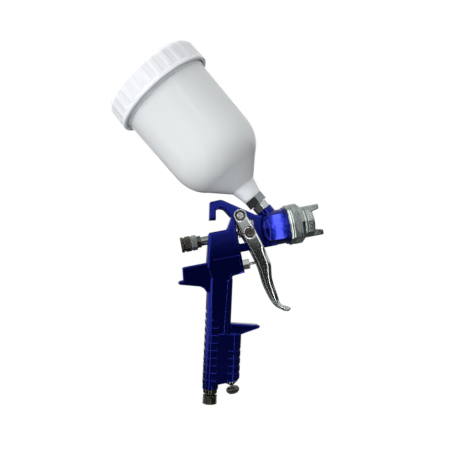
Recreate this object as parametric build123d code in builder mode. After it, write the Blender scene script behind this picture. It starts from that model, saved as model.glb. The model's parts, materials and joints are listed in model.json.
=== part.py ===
"""Gravity-feed HVLP spray gun, millimetres.

+X is the way the gun sprays, +Z is up with the barrel level, and the origin is the centre of
the hose nipple's end face at the foot of the grip. Three datums carry every piece: the barrel
axis, the cup axis, which leans back from it, and the inlet axis, which leans with the grip.
"""

import os
from math import cos, radians, sin

from build123d import *

# Driving dimensions -------------------------------------------------------------------------
BARREL_X = 66.9  # the trigger's cross pin, ahead of the hose nipple's end
BARREL_Z = 146.6  # and above it
CUP_X = 27.2  # where the cup axis meets the barrel axis, ahead of the cross pin
CUP_LEAN = 29.6  # degrees back from vertical
GRIP_LEAN = 13.5  # degrees back from vertical

BLOCK_WIDTH = 21.0
PLATE_WIDTH = 15.0
HOOK_WIDTH = 12.0
GRIP_WIDTH = 24.0
GRIP_REAR, GRIP_FRONT, GRIP_FOOT_FRONT = -7.3, 15.9, 25.9  # ahead of the inlet axis
GRIP_STEP, GRIP_TOP = 66.0, 114.0  # heights along the grip
FOOT_Z = 17.3
FIRST_RIB, RIB_PITCH, RIB_COUNT, FRONT_RIB_COUNT, RIB_REACH = 16.0, 6.65, 10, 6, 11.5
GROOVE_DEPTH, GROOVE_WIDTH = 0.6, 2.0

HEAD_RADIUS = 16.5
FLANGE_RADIUS = 17.6
SPIGOT_RADIUS = 16.45
HEAD_BACK, FLANGE_FRONT, HEAD_FRONT = 9.5, 34.7, 43.0
BLOCK_FRONT = -13.0
WINDOW_FRONT, WINDOW_LOW, WINDOW_HIGH = 4.0, -9.0, 12.0
FLUID_BORE = 4.0
NOZZLE_THREAD = 6.5
PACKING_RADIUS = 4.5
REAR_BORE = 4.2
AIR_BORE = 4.0
GALLERY_Z, GALLERY_RADIUS = -12.2, 2.3

PIVOT = (-7.2, 16.6)
PIVOT_RADIUS = 2.75
PIVOT_BOSS_RADIUS = 6.0
YOKE = (-1.3, -0.75)
YOKE_RADIUS = 4.35
YOKE_NECK = 3.0
EAR_RADIUS = 6.2
EAR_RELIEF = 9.0
EAR_INSIDE, EAR_OUTSIDE = 8.0, 10.0
EAR_DISH_RADIUS, EAR_DISH_DEPTH = 4.85, 1.2
TRIGGER_WEB = 2.4
RUNNING = 0.05  # radial clearance of a shaft in its hole

NEEDLE_RADIUS = 1.25
VALVE_Z = -28.9
VALVE_BORE = 5.5
STEM_RADIUS = 1.25

FAN_X, FAN_Z = -26.0, -12.2
REGULATOR_X = -43.7

CUP_BOSS_RADIUS, CUP_BOSS_TOP = 8.3, 21.5
CUP_HEX = 17.0
CUP_WALL = 1.8
CUP_LOW_RADIUS, CUP_RADIUS = 43.4, 44.4  # the cup's side opens a little towards its rim
CUP_SHOULDER, CUP_NECK_RIM = 96.0, 162.0
CUP_RIM, RIM_RADIUS, RIM_WALL = 182.0, 45.4, 2.4
LID_LOW, LID_TOP, LID_RADIUS, LID_BEAD = 164.0, 187.0, 49.3, 49.9
LID_INSIDE, LID_ROOF, LID_HUB = 46.6, 183.2, 38.6
VENT_HOLE = 2.0

INLET_THREAD = 6.58  # G 1/4

# Datums -------------------------------------------------------------------------------------
ORIGIN = (BARREL_X, 0, BARREL_Z)
SIDE = Plane(origin=ORIGIN, x_dir=(1, 0, 0), z_dir=(0, -1, 0))  # side view: forward, up
BARREL = Axis(ORIGIN, (1, 0, 0))

CUP_UP = (-sin(radians(CUP_LEAN)), 0, cos(radians(CUP_LEAN)))
CUP_FOOT = (BARREL_X + CUP_X, 0, BARREL_Z)
CUP_SIDE = Plane(origin=CUP_FOOT, x_dir=CUP_UP, z_dir=(0, 1, 0))  # up the cup, outwards
CUP_AXIS = Axis(CUP_FOOT, CUP_UP)

GRIP_UP = (sin(radians(GRIP_LEAN)), 0, cos(radians(GRIP_LEAN)))
INLET_SIDE = Plane(origin=(0, 0, 0), x_dir=GRIP_UP, z_dir=(0, 1, 0))  # up the grip, forwards
INLET_AXIS = Axis((0, 0, 0), GRIP_UP)

VALVE_SIDE = Plane(origin=(BARREL_X, 0, BARREL_Z + VALVE_Z), x_dir=(1, 0, 0), z_dir=(0, -1, 0))
VALVE_AXIS = Axis(VALVE_SIDE.origin, (1, 0, 0))

FAN_SIDE = Plane(
    origin=(BARREL_X + FAN_X, 0, BARREL_Z + FAN_Z), x_dir=(0, 1, 0), z_dir=(0, 0, 1)
)  # out of the left side
FAN_AXIS = Axis(FAN_SIDE.origin, (0, 1, 0))

REGULATOR_SIDE = Plane(
    origin=(BARREL_X + REGULATOR_X, 0, FOOT_Z), x_dir=(0, 0, -1), z_dir=(0, 1, 0)
)  # down from the grip's foot
REGULATOR_AXIS = Axis(REGULATOR_SIDE.origin, (0, 0, -1))


# Shared shapes ------------------------------------------------------------------------------
def outline(plane, *points):
    """Closed outline of straight lines on a plane."""
    with BuildSketch(plane) as drawn:
        with BuildLine():
            Polyline(*points, close=True)
        make_face()
    return drawn.sketch


def tube(plane, start, end, outer, inner):
    """Half section of a tube: from start to end along the plane's x, between two radii."""
    return outline(plane, (start, inner), (end, inner), (end, outer), (start, outer))


def rod(plane, start, end, radius):
    """Half section of a solid rod."""
    return tube(plane, start, end, radius, 0)


def across(plane, position):
    """The plane square to a datum plane's x axis at a position along it, with its y kept."""
    return Plane(
        origin=plane.origin + plane.x_dir * position, x_dir=-plane.z_dir, z_dir=plane.x_dir
    )


def slab(points, width, rounding):
    """A side outline as thick as width, with the edges of both flat sides rounded."""
    with BuildPart() as lump:
        with BuildSketch(SIDE):
            with BuildLine():
                Polyline(*points, close=True)
            make_face()
        extrude(amount=width / 2, both=True)
        fillet(lump.faces().filter_by(Axis.Y).edges(), rounding)
    return lump.part


def drilling(start, end, radius):
    """A round drilling between two points of the side view."""
    low, high = (Vector(BARREL_X + x, 0, BARREL_Z + z) for x, z in (start, end))
    return Solid.make_cylinder(radius, (high - low).length, Plane(origin=low, z_dir=high - low))


def finish(piece, name):
    """Labels a finished piece and writes it."""
    piece.part.label = name
    export_step(piece.part, f"parts/{name}.step")


os.makedirs("parts", exist_ok=True)

# Gun body -----------------------------------------------------------------------------------
hook = slab(
    [
        (-36.2, 18.1), (-32.8, 33.6), (-31.6, 34.6), (-22.5, 35.0), (-20.0, 34.1), (6.6, 16.0),
        (12.0, 9.0), (-12.5, 12.0), (-16.6, 15.0), (-15.6, 16.9), (-20.3, 24.7), (-21.9, 25.9),
        (-25.0, 26.9), (-27.2, 26.6), (-28.1, 25.6), (-29.7, 17.2),
    ],
    HOOK_WIDTH,
    1.8,
)  # fmt: skip
plate = slab(
    [
        (-14.0, -16.8), (22.0, -16.8), (22.0, 10.0), (7.0, 15.3), (0.0, 20.0), (-10.0, 20.0),
        (-16.4, 14.0), (-14.0, 12.0),
    ],
    PLATE_WIDTH,
    1.2,
)  # fmt: skip
block = slab(
    [
        (BLOCK_FRONT, 21.0), (BLOCK_FRONT, -35.9), (-24.4, -36.9), (-32.0, -50.0), (-44.0, -46.0),
        (-47.0, -24.6), (-39.6, 4.8), (-38.2, 6.3), (-22.5, 6.3), (-20.9, 7.8),
    ],
    BLOCK_WIDTH,
    2.6,
)  # fmt: skip
hand_rest = slab(
    [
        (-40.0, -20.3), (-68.0, -20.3), (-68.8, -21.2), (-70.0, -32.0), (-73.6, -32.3),
        (-75.0, -33.6), (-73.6, -35.4), (-60.0, -39.4), (-56.0, -40.5), (-52.8, -42.8),
        (-50.8, -47.0), (-40.0, -50.0),
    ],
    BLOCK_WIDTH - 1,
    1.3,
)  # fmt: skip
prong = slab(
    [
        (-40.0, -77.0), (-33.6, -79.0), (-9.5, -85.6), (-8.2, -87.1), (-9.5, -88.6),
        (-26.8, -90.9), (-40.0, -95.0),
    ],
    HOOK_WIDTH,
    1.2,
)  # fmt: skip


def grip_section(height, front, width, corner):
    """Rounded section of the grip, square to its lean, at a height along it."""
    with BuildSketch(across(INLET_SIDE, height)) as section:
        with Locations((0, (GRIP_REAR + front) / 2)):
            RectangleRounded(width, front - GRIP_REAR, corner)
    return section.sketch


with BuildPart() as grip:
    extrude(grip_section(0, GRIP_FOOT_FRONT, GRIP_WIDTH, 7), amount=GRIP_STEP - 2)
    loft([grip_section(GRIP_STEP - 14, GRIP_FRONT, GRIP_WIDTH, 7),
          grip_section(GRIP_TOP, GRIP_FRONT, BLOCK_WIDTH, 5)])
grip = grip.part

with BuildPart() as rib_grooves:  # rings round the back and the front of the grip's skin
    for count in range(RIB_COUNT + 1):
        with BuildSketch(across(INLET_SIDE, FIRST_RIB + count * RIB_PITCH)):
            with Locations((0, GRIP_REAR)):
                Rectangle(GRIP_WIDTH + 4, 2 * RIB_REACH)
            if count < FRONT_RIB_COUNT:
                with Locations((0, GRIP_FOOT_FRONT)):
                    Rectangle(GRIP_WIDTH + 4, 2 * RIB_REACH)
        extrude(amount=GROOVE_WIDTH)
    extrude(
        offset(grip_section(0, GRIP_FOOT_FRONT, GRIP_WIDTH, 7), -GROOVE_DEPTH),
        amount=GRIP_TOP,
        mode=Mode.SUBTRACT,
    )

with BuildPart() as gun_body:
    add(grip)
    with Locations((BARREL_X + BLOCK_FRONT, 0, FOOT_Z)):
        Box(86, 40, 30, align=(Align.MAX, Align.CENTER, Align.MAX), mode=Mode.SUBTRACT)
    add(rib_grooves.part, mode=Mode.SUBTRACT)
    revolve(rod(INLET_SIDE, 13.5, 45, 7.2), axis=INLET_AXIS)
    add([block, hand_rest, prong, hook, plate])
    # the head: a shoulder that swells to the barrel, a flange and the ring's threaded spigot
    with BuildSketch(SIDE):
        with BuildLine():
            shoulder = ThreePointArc((HEAD_BACK, 6.8), (11.6, 13.0), (17.0, HEAD_RADIUS))
            Polyline(
                shoulder @ 1, (32.0, HEAD_RADIUS), (33.0, FLANGE_RADIUS),
                (FLANGE_FRONT, FLANGE_RADIUS), (FLANGE_FRONT, SPIGOT_RADIUS),
                (HEAD_FRONT, SPIGOT_RADIUS), (HEAD_FRONT, 0), (HEAD_BACK, 0), shoulder @ 0,
            )  # fmt: skip
        make_face()
    revolve(axis=BARREL)
    revolve(rod(CUP_SIDE, 0, CUP_BOSS_TOP, CUP_BOSS_RADIUS), axis=CUP_AXIS)
    with BuildSketch(SIDE):
        with Locations(PIVOT):
            Circle(PIVOT_BOSS_RADIUS)
    extrude(amount=EAR_INSIDE - 0.3, both=True)
    # room on both sides for the trigger's ears
    for face in (SIDE.offset(EAR_INSIDE - 0.3), SIDE.offset(-BLOCK_WIDTH)):
        with BuildSketch(face):
            with Locations(PIVOT):
                Circle(EAR_RELIEF)
        extrude(amount=BLOCK_WIDTH - EAR_INSIDE + 0.3, mode=Mode.SUBTRACT)
    # the window that the cross pin travels in
    with BuildSketch(SIDE):
        with Locations(((BLOCK_FRONT + WINDOW_FRONT) / 2, (WINDOW_LOW + WINDOW_HIGH) / 2)):
            RectangleRounded(WINDOW_FRONT - BLOCK_FRONT, WINDOW_HIGH - WINDOW_LOW, 1.5)
    extrude(amount=BLOCK_WIDTH, both=True, mode=Mode.SUBTRACT)
    # plain sunk panel on the right side
    with BuildSketch(SIDE.offset(BLOCK_WIDTH / 2 - 0.6)):
        with Locations((-26.4, -13.4)):
            RectangleRounded(25.6, 11.6, 1)
    extrude(amount=2, mode=Mode.SUBTRACT)
    # barrel bores, from the rear block to the nozzle
    revolve(
        outline(
            SIDE,
            (-50, 0), (-50, REAR_BORE), (-10, REAR_BORE), (-10, 6.2), (8.6, 6.2),
            (8.6, PACKING_RADIUS), (16, PACKING_RADIUS), (16, FLUID_BORE), (34, FLUID_BORE),
            (34, NOZZLE_THREAD), (HEAD_FRONT, NOZZLE_THREAD), (HEAD_FRONT, 0),
        ),  # fmt: skip
        axis=BARREL,
        mode=Mode.SUBTRACT,
    )
    revolve(tube(SIDE, 37, HEAD_FRONT, 13.6, 9.2), axis=BARREL, mode=Mode.SUBTRACT)
    revolve(rod(CUP_SIDE, 0, CUP_BOSS_TOP, 3.5), axis=CUP_AXIS, mode=Mode.SUBTRACT)
    revolve(rod(CUP_SIDE, 14, CUP_BOSS_TOP, 6), axis=CUP_AXIS, mode=Mode.SUBTRACT)
    # air passages: nipple, regulator chamber, valve and gallery to the head
    revolve(rod(INLET_SIDE, 10, 36, 5.4), axis=INLET_AXIS, mode=Mode.SUBTRACT)
    add(
        [
            drilling((REGULATOR_X, -132), (REGULATOR_X, -119.3), 5.0),
            drilling((REGULATOR_X, -120), (REGULATOR_X, -104), AIR_BORE),
            drilling((-60.5, -112), (REGULATOR_X, -112), 3.2),
            drilling((REGULATOR_X, -106), (-38.0, VALVE_Z), AIR_BORE),
            drilling((-52.0, VALVE_Z), (-10, VALVE_Z), VALVE_BORE),
            drilling((-20.0, VALVE_Z), (-20.0, GALLERY_Z), GALLERY_RADIUS),
            drilling((FAN_X - 4, GALLERY_Z), (38.0, GALLERY_Z), GALLERY_RADIUS),
        ],
        mode=Mode.SUBTRACT,
    )
    revolve(rod(FAN_SIDE, 2.0, BLOCK_WIDTH, 4.0), axis=FAN_AXIS, mode=Mode.SUBTRACT)
    revolve(rod(FAN_SIDE, -1.0, 3.0, 1.8), axis=FAN_AXIS, mode=Mode.SUBTRACT)
    # bore for the trigger's pivot pin
    with BuildSketch(SIDE):
        with Locations(PIVOT):
            Circle(PIVOT_RADIUS)
    extrude(amount=EAR_OUTSIDE, both=True, mode=Mode.SUBTRACT)
finish(gun_body, "gun_body")

# Nozzle set ---------------------------------------------------------------------------------
RING_BACK, RING_FRONT, RING_RADIUS = 35.0, 50.0, 19.0
CAP_FLANGE_BACK, CAP_FLANGE_FRONT, CAP_RADIUS = 46.7, 48.4, 14.9
CAP_FACE, HORN_TIP, HORN_WIDTH, HORN_INSIDE = 60.0, 68.5, 9.0, 8.4
BAFFLE_FRONT = 46.4

with BuildPart() as nozzle_gasket:
    revolve(tube(SIDE, HEAD_FRONT, HEAD_FRONT + 0.8, 15.9, 14.4), axis=BARREL)
finish(nozzle_gasket, "nozzle_gasket")

with BuildPart() as air_distribution_ring:
    revolve(tube(SIDE, HEAD_FRONT + 0.8, BAFFLE_FRONT, 15.9, NOZZLE_THREAD), axis=BARREL)
    with Locations(across(SIDE, BAFFLE_FRONT)):
        with PolarLocations(11.4, 12):
            Hole(1.1)
finish(air_distribution_ring, "air_distribution_ring")

with BuildPart() as fluid_nozzle:
    revolve(
        outline(
            SIDE,
            (34, 2.6), (34, NOZZLE_THREAD), (BAFFLE_FRONT, NOZZLE_THREAD), (BAFFLE_FRONT, 9.0),
            (49.0, 9.0), (49.5, 6.6), (55.6, 3.0), (56.6, 1.6), (60.3, 1.6), (60.3, 0.8),
            (58.0, 0.8), (52.0, 2.6),
        ),  # fmt: skip
        axis=BARREL,
    )
    with BuildSketch(across(SIDE, BAFFLE_FRONT)):
        Circle(10)
        RegularPolygon(8.0, 6, major_radius=False, mode=Mode.SUBTRACT)
    extrude(amount=2.8, mode=Mode.SUBTRACT)
finish(fluid_nozzle, "fluid_nozzle")

horn = slab(
    [(55, 7.6), (61.5, 8.4), (67.6, 9.8), (HORN_TIP, 10.6), (HORN_TIP, 14.2), (67.8, 14.9), (55, 15.1)],
    HORN_WIDTH,
    0.8,
)
horn &= Solid.make_cylinder(CAP_RADIUS, 20, across(SIDE, CAP_FACE - 3))

with BuildPart() as air_cap:
    revolve(
        outline(
            SIDE,
            (CAP_FLANGE_BACK, 13.2), (CAP_FLANGE_BACK, 16.2), (CAP_FLANGE_FRONT, 16.2),
            (CAP_FLANGE_FRONT, CAP_RADIUS), (52.0, CAP_RADIUS), (52.5, 14.3), (53.0, CAP_RADIUS),
            (HORN_TIP, CAP_RADIUS), (HORN_TIP, 2.3), (57.8, 2.3), (56.8, 5.0), (52.0, 12.4),
        ),  # fmt: skip
        axis=BARREL,
    )
    # cut back to the dished face everywhere but at the two horns
    with BuildSketch(SIDE):
        with BuildLine():
            Polyline(
                (HORN_TIP + 1, 0), (58.8, 0), (58.8, 5.0), (CAP_FACE, 11.0), (CAP_FACE, 12.6),
                (CAP_FACE - 2.2, CAP_RADIUS + 1), (HORN_TIP + 1, CAP_RADIUS + 1), close=True,
            )
        make_face()
    revolve(axis=BARREL, mode=Mode.SUBTRACT)
    add([horn, horn.mirror(Plane(origin=ORIGIN, z_dir=(0, 0, 1)))])
    for side in (1, -1):  # each horn blows two jets back across the axis
        add(
            [
                drilling((64.6, 12.4 * side), (68.0, 6.0 * side), 0.6),
                drilling((62.2, 12.0 * side), (64.6, 6.0 * side), 0.6),
            ],
            mode=Mode.SUBTRACT,
        )
    with Locations(across(SIDE, CAP_FACE)):
        with PolarLocations(7.2, 4, start_angle=45):
            Hole(0.6)
finish(air_cap, "air_cap")

with BuildPart() as air_cap_ring:
    revolve(
        outline(
            SIDE,
            (RING_BACK, SPIGOT_RADIUS + RUNNING), (RING_BACK, 18.2), (35.8, RING_RADIUS),
            (37.6, RING_RADIUS), (38.1, 18.5), (39.4, 18.5), (39.9, RING_RADIUS),
            (46.6, RING_RADIUS), (RING_FRONT, 15.9), (RING_FRONT, 15.05), (48.6, 15.05),
            (48.6, SPIGOT_RADIUS + RUNNING),
        ),  # fmt: skip
        axis=BARREL,
    )
finish(air_cap_ring, "air_cap_ring")

# Fluid needle and its adjuster --------------------------------------------------------------
COLLAR_FRONT, COLLAR_BACK, COLLAR_RADIUS = -4.6, -9.6, 3.6
SEAT_FRONT, SEAT_BACK = -29.5, -31.0
SLEEVE_FRONT, SLEEVE_BACK, SCREW_RADIUS = -35.0, -47.0, 3.0
KNOB_BACK, KNOB_RADIUS = -66.0, 7.2

with BuildPart() as fluid_needle:
    revolve(
        outline(
            SIDE,
            (-25.3, 0), (-25.3, NEEDLE_RADIUS), (COLLAR_BACK, NEEDLE_RADIUS),
            (COLLAR_BACK, COLLAR_RADIUS), (COLLAR_FRONT, COLLAR_RADIUS),
            (COLLAR_FRONT, NEEDLE_RADIUS), (53, NEEDLE_RADIUS), (58.4, 0.7), (60.2, 0.35), (60.2, 0),
        ),  # fmt: skip
        axis=BARREL,
    )
finish(fluid_needle, "fluid_needle")

with BuildPart() as needle_packing:
    revolve(tube(SIDE, 12.6, 16, PACKING_RADIUS, NEEDLE_RADIUS + RUNNING), axis=BARREL)
finish(needle_packing, "needle_packing")

with BuildPart() as packing_gland:
    revolve(tube(SIDE, 8.6, 12.6, PACKING_RADIUS, NEEDLE_RADIUS + 0.3), axis=BARREL)
    with BuildSketch(across(SIDE, 4.3)):
        RegularPolygon(5.0, 6, major_radius=False)
        Circle(NEEDLE_RADIUS + 0.3, mode=Mode.SUBTRACT)
    extrude(amount=4.3)
finish(packing_gland, "packing_gland")

with BuildPart() as needle_spring:
    revolve(tube(SIDE, SEAT_FRONT, COLLAR_BACK, 3.5, 2.5), axis=BARREL)
finish(needle_spring, "needle_spring")

with BuildPart() as needle_spring_seat:
    revolve(rod(SIDE, SEAT_BACK, SEAT_FRONT, REAR_BORE - 0.1), axis=BARREL)
finish(needle_spring_seat, "needle_spring_seat")

with BuildPart() as fluid_adjust_sleeve:
    revolve(tube(SIDE, SLEEVE_BACK, SLEEVE_FRONT, REAR_BORE, SCREW_RADIUS + RUNNING), axis=BARREL)
finish(fluid_adjust_sleeve, "fluid_adjust_sleeve")

with BuildPart() as fluid_adjust_screw:
    revolve(rod(SIDE, -62, SEAT_BACK - 0.1, SCREW_RADIUS), axis=BARREL)
finish(fluid_adjust_screw, "fluid_adjust_screw")

with BuildPart() as fluid_locknut:
    revolve(
        outline(
            SIDE,
            (-51, SCREW_RADIUS), (-51, 5.6), (-50.5, 6.1), (-47.6, 6.1), (-47.1, 5.6),
            (-47.1, SCREW_RADIUS),
        ),  # fmt: skip
        axis=BARREL,
    )
finish(fluid_locknut, "fluid_locknut")

with BuildPart() as fluid_adjust_knob:
    revolve(
        outline(
            SIDE,
            (KNOB_BACK, 0), (KNOB_BACK, 6.6), (-65.4, KNOB_RADIUS), (-63.4, KNOB_RADIUS),
            (-62.9, 6.2), (-62.3, 6.2), (-61.8, KNOB_RADIUS), (-57.0, KNOB_RADIUS), (-56.5, 6.4),
            (-56.1, 6.4), (-55.6, 7.1), (-51.5, 7.1), (-51.0, 6.6), (-51.0, SCREW_RADIUS),
            (-62, SCREW_RADIUS), (-62, 0),
        ),  # fmt: skip
        axis=BARREL,
    )
finish(fluid_adjust_knob, "fluid_adjust_knob")

# Trigger ------------------------------------------------------------------------------------
BLADE_TOP = -17.6  # the finger wall starts clear under the barrel
with BuildSketch(SIDE) as trigger_side:
    with BuildLine():
        rear = Spline(
            (-13.2, 14.6), (-8.0, -2.8), (-1.0, -24.0), (2.0, -38.0), (3.2, -49.5), (5.9, -61.0),
            (10.1, -71.4), (16.0, -77.2), (21.4, -78.0), (23.4, -76.0),
        )  # fmt: skip
        front = Spline(
            rear @ 1, (19.2, -74.0), (14.9, -71.0), (13.2, -63.7), (11.5, -51.0), (11.3, -43.0),
            (12.6, -33.0), (11.2, -25.3), (8.5, -14.0), (4.5, -0.3), (-1.2, 15.0),
        )  # fmt: skip
        Line(front @ 1, rear @ 0)
    make_face()
    with Locations(PIVOT):
        Circle(EAR_RADIUS)

with BuildSketch(SIDE) as trigger_hollow:  # everything between the cheeks behind the wall
    with BuildLine():
        wall = Spline(
            (6.6, BLADE_TOP), (8.6, -25.3), (10.0, -33.0), (8.9, -43.0), (9.0, -51.0),
            (10.4, -62.0), (11.4, -68.0),
        )  # fmt: skip
        Polyline(wall @ 1, (4.0, -70.0), (-30.0, -60.0), (-30.0, 40.0), (30.0, 40.0),
                 (30.0, BLADE_TOP), wall @ 0)
    make_face()

with BuildPart() as trigger:
    extrude(trigger_side.sketch, amount=EAR_OUTSIDE, both=True)
    extrude(trigger_hollow.sketch, amount=EAR_INSIDE, both=True, mode=Mode.SUBTRACT)
    with BuildSketch(SIDE):
        with Locations(PIVOT):
            Circle(PIVOT_RADIUS + RUNNING)
        with Locations(YOKE):
            Circle(YOKE_RADIUS + RUNNING)
    extrude(amount=EAR_OUTSIDE, both=True, mode=Mode.SUBTRACT)
    for face in (SIDE.offset(EAR_OUTSIDE - EAR_DISH_DEPTH), SIDE.offset(-EAR_OUTSIDE)):
        with BuildSketch(face):
            with Locations(PIVOT):
                Circle(EAR_DISH_RADIUS)
        extrude(amount=EAR_DISH_DEPTH, mode=Mode.SUBTRACT)
finish(trigger, "trigger")

PIVOT_SIDE = Plane(
    origin=(BARREL_X + PIVOT[0], 0, BARREL_Z + PIVOT[1]), x_dir=(0, 1, 0), z_dir=(0, 0, 1)
)
PIVOT_AXIS = Axis(PIVOT_SIDE.origin, (0, 1, 0))
DISH_FLOOR = EAR_OUTSIDE - EAR_DISH_DEPTH
PIVOT_HOLLOW = 1.5  # the pin is bored for its two screws
SCREW_HEAD_LOW, SCREW_HEAD_TOP, SCREW_HEAD_RADIUS = DISH_FLOOR + 0.08, EAR_OUTSIDE - 0.1, 3.3

with BuildPart() as trigger_pivot_pin:
    revolve(tube(PIVOT_SIDE, -DISH_FLOOR, DISH_FLOOR, PIVOT_RADIUS, PIVOT_HOLLOW), axis=PIVOT_AXIS)
finish(trigger_pivot_pin, "trigger_pivot_pin")

with BuildPart() as trigger_pivot_screws:
    for side in (1, -1):
        revolve(rod(PIVOT_SIDE, 5 * side, DISH_FLOOR * side, PIVOT_HOLLOW), axis=PIVOT_AXIS)
        revolve(
            outline(
                PIVOT_SIDE,
                (DISH_FLOOR * side, 0), (DISH_FLOOR * side, 2.7), (SCREW_HEAD_LOW * side, 2.7),
                (SCREW_HEAD_LOW * side, SCREW_HEAD_RADIUS),
                ((SCREW_HEAD_TOP - 0.3) * side, SCREW_HEAD_RADIUS),
                (SCREW_HEAD_TOP * side, SCREW_HEAD_RADIUS - 0.4), (SCREW_HEAD_TOP * side, 0),
            ),  # fmt: skip
            axis=PIVOT_AXIS,
        )
        with Locations(PIVOT_SIDE.location * Location((SCREW_HEAD_TOP * side, 0, 0))):
            Box(1.0, 0.9, 9, mode=Mode.SUBTRACT)
finish(trigger_pivot_screws, "trigger_pivot_screws")

with BuildPart() as needle_yoke:
    with BuildSketch(SIDE):
        with Locations(YOKE):
            Circle(YOKE_RADIUS)
    extrude(amount=EAR_OUTSIDE - 0.7, both=True)
    with BuildSketch(SIDE):  # flats where the pin crosses the window
        for side in (1, -1):
            with Locations((YOKE[0] + side * (YOKE_NECK + 3), YOKE[1])):
                Rectangle(6, 12)
    extrude(amount=EAR_INSIDE - 0.4, both=True, mode=Mode.SUBTRACT)
    with Locations((BARREL_X + YOKE[0], 0, BARREL_Z + YOKE[1] + 1.05)):  # slot for the needle
        Box(20, 2.9, 4.7, mode=Mode.SUBTRACT)
finish(needle_yoke, "needle_yoke")

# Air valve ----------------------------------------------------------------------------------
with BuildPart() as air_valve_body:
    revolve(
        outline(
            VALVE_SIDE,
            (-28, 3.2), (-28, VALVE_BORE), (BLOCK_FRONT, VALVE_BORE), (BLOCK_FRONT, 5.1), (-7.0, 5.1),
            (-6.3, 4.4), (-6.3, 1.4), (-9, 1.4), (-9, 2.6), (-14, 2.6), (-14, 1.4), (-16, 1.4),
            (-16, 3.2),
        ),  # fmt: skip
        axis=VALVE_AXIS,
    )
    add(drilling((-20.0, VALVE_Z), (-20.0, VALVE_Z + 7), GALLERY_RADIUS), mode=Mode.SUBTRACT)
finish(air_valve_body, "air_valve_body")

with BuildPart() as air_valve_packing:
    revolve(tube(VALVE_SIDE, -14, -9, 2.6, STEM_RADIUS + RUNNING), axis=VALVE_AXIS)
finish(air_valve_packing, "air_valve_packing")

with BuildPart() as air_valve_stem:
    revolve(rod(VALVE_SIDE, -29.6, 9.2, STEM_RADIUS), axis=VALVE_AXIS)
finish(air_valve_stem, "air_valve_stem")

with BuildPart() as air_valve_head:
    revolve(rod(VALVE_SIDE, -31, -28.05, 4.7), axis=VALVE_AXIS)
    revolve(rod(VALVE_SIDE, -29.6, -28, STEM_RADIUS), axis=VALVE_AXIS, mode=Mode.SUBTRACT)
finish(air_valve_head, "air_valve_head")

with BuildPart() as air_valve_spring:
    revolve(tube(VALVE_SIDE, -52, -31, 4.4, 3.2), axis=VALVE_AXIS)
finish(air_valve_spring, "air_valve_spring")

# Spray width control, on the left side ------------------------------------------------------
with BuildPart() as fan_bushing:
    revolve(tube(FAN_SIDE, 3, BLOCK_WIDTH / 2, 4.0, 1.8), axis=FAN_AXIS)
    with BuildSketch(across(FAN_SIDE, BLOCK_WIDTH / 2)):
        RegularPolygon(6.0, 6, major_radius=False)
        Circle(1.8, mode=Mode.SUBTRACT)
    extrude(amount=4)
finish(fan_bushing, "fan_bushing")

with BuildPart() as fan_spindle:
    revolve(outline(FAN_SIDE, (0, 0), (1.6, 1.7), (24, 1.7), (24, 0)), axis=FAN_AXIS)
finish(fan_spindle, "fan_spindle")

with BuildPart() as fan_knob:
    revolve(
        outline(
            FAN_SIDE,
            (15.4, 1.7), (15.4, 5.4), (16.6, 5.4), (17.4, 7.4), (18.0, 8.0), (25.4, 8.0),
            (26.4, 7.0), (26.4, 2.2), (24, 2.2), (24, 1.7),
        ),  # fmt: skip
        axis=FAN_AXIS,
    )
finish(fan_knob, "fan_knob")

with BuildPart() as fan_knob_screw:
    revolve(rod(FAN_SIDE, 24, 26.6, 2.2), axis=FAN_AXIS)
    with Locations(across(FAN_SIDE, 26.6).location):
        Box(5, 0.8, 1.4, mode=Mode.SUBTRACT)
finish(fan_knob_screw, "fan_knob_screw")

# Air regulator under the grip ---------------------------------------------------------------
with BuildPart() as regulator_gland:
    revolve(
        outline(
            REGULATOR_SIDE,
            (-10, 3.0), (-10, 5.0), (0, 5.0), (0, 6.2), (2.2, 6.2), (2.8, 5.4), (4.8, 2.6),
            (4.8, 1.55), (-5, 1.55), (-5, 3.0),
        ),  # fmt: skip
        axis=REGULATOR_AXIS,
    )
finish(regulator_gland, "regulator_gland")

with BuildPart() as regulator_seal:
    revolve(tube(REGULATOR_SIDE, -8.5, -5, 3.0, 1.55), axis=REGULATOR_AXIS)
finish(regulator_seal, "regulator_seal")

with BuildPart() as regulator_spindle:
    revolve(rod(REGULATOR_SIDE, -19, 11, 1.5), axis=REGULATOR_AXIS)
    revolve(rod(REGULATOR_SIDE, -22, -19, 3.6), axis=REGULATOR_AXIS)
finish(regulator_spindle, "regulator_spindle")

with BuildPart() as regulator_knob:
    with BuildSketch(REGULATOR_SIDE):
        with BuildLine():
            edge = ThreePointArc((6.7, 4.2), (9.6, 6.1), (12.7, 4.6))
            Polyline(edge @ 1, (12.7, 0), (11, 0), (11, 1.5), (6.7, 1.5), edge @ 0)
        make_face()
    revolve(axis=REGULATOR_AXIS)
finish(regulator_knob, "regulator_knob")

# Hose nipple --------------------------------------------------------------------------------
with BuildPart() as air_inlet_connector:
    revolve(
        outline(
            INLET_SIDE,
            (0, 3.4), (0, INLET_THREAD), (8, INLET_THREAD), (8.4, 4.1), (9.4, 4.1), (9.4, 5.8),
            (9.9, 6.4), (12.7, 6.4), (12.7, 5.4), (30, 5.4), (30, 3.4),
        ),  # fmt: skip
        axis=INLET_AXIS,
    )
finish(air_inlet_connector, "air_inlet_connector")

with BuildPart() as inlet_gasket:
    revolve(tube(INLET_SIDE, 12.7, 13.5, 6.7, 5.4), axis=INLET_AXIS)
finish(inlet_gasket, "inlet_gasket")

# Cup ----------------------------------------------------------------------------------------
with BuildPart() as cup_nipple:
    revolve(
        outline(
            CUP_SIDE,
            (14, 3.5), (14, 6), (CUP_BOSS_TOP, 6), (CUP_BOSS_TOP, 7.7), (27.8, 7.7), (28.3, 7.2),
            (28.3, 5.5), (36, 5.5), (36, 3.5),
        ),  # fmt: skip
        axis=CUP_AXIS,
    )
finish(cup_nipple, "cup_nipple")

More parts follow.
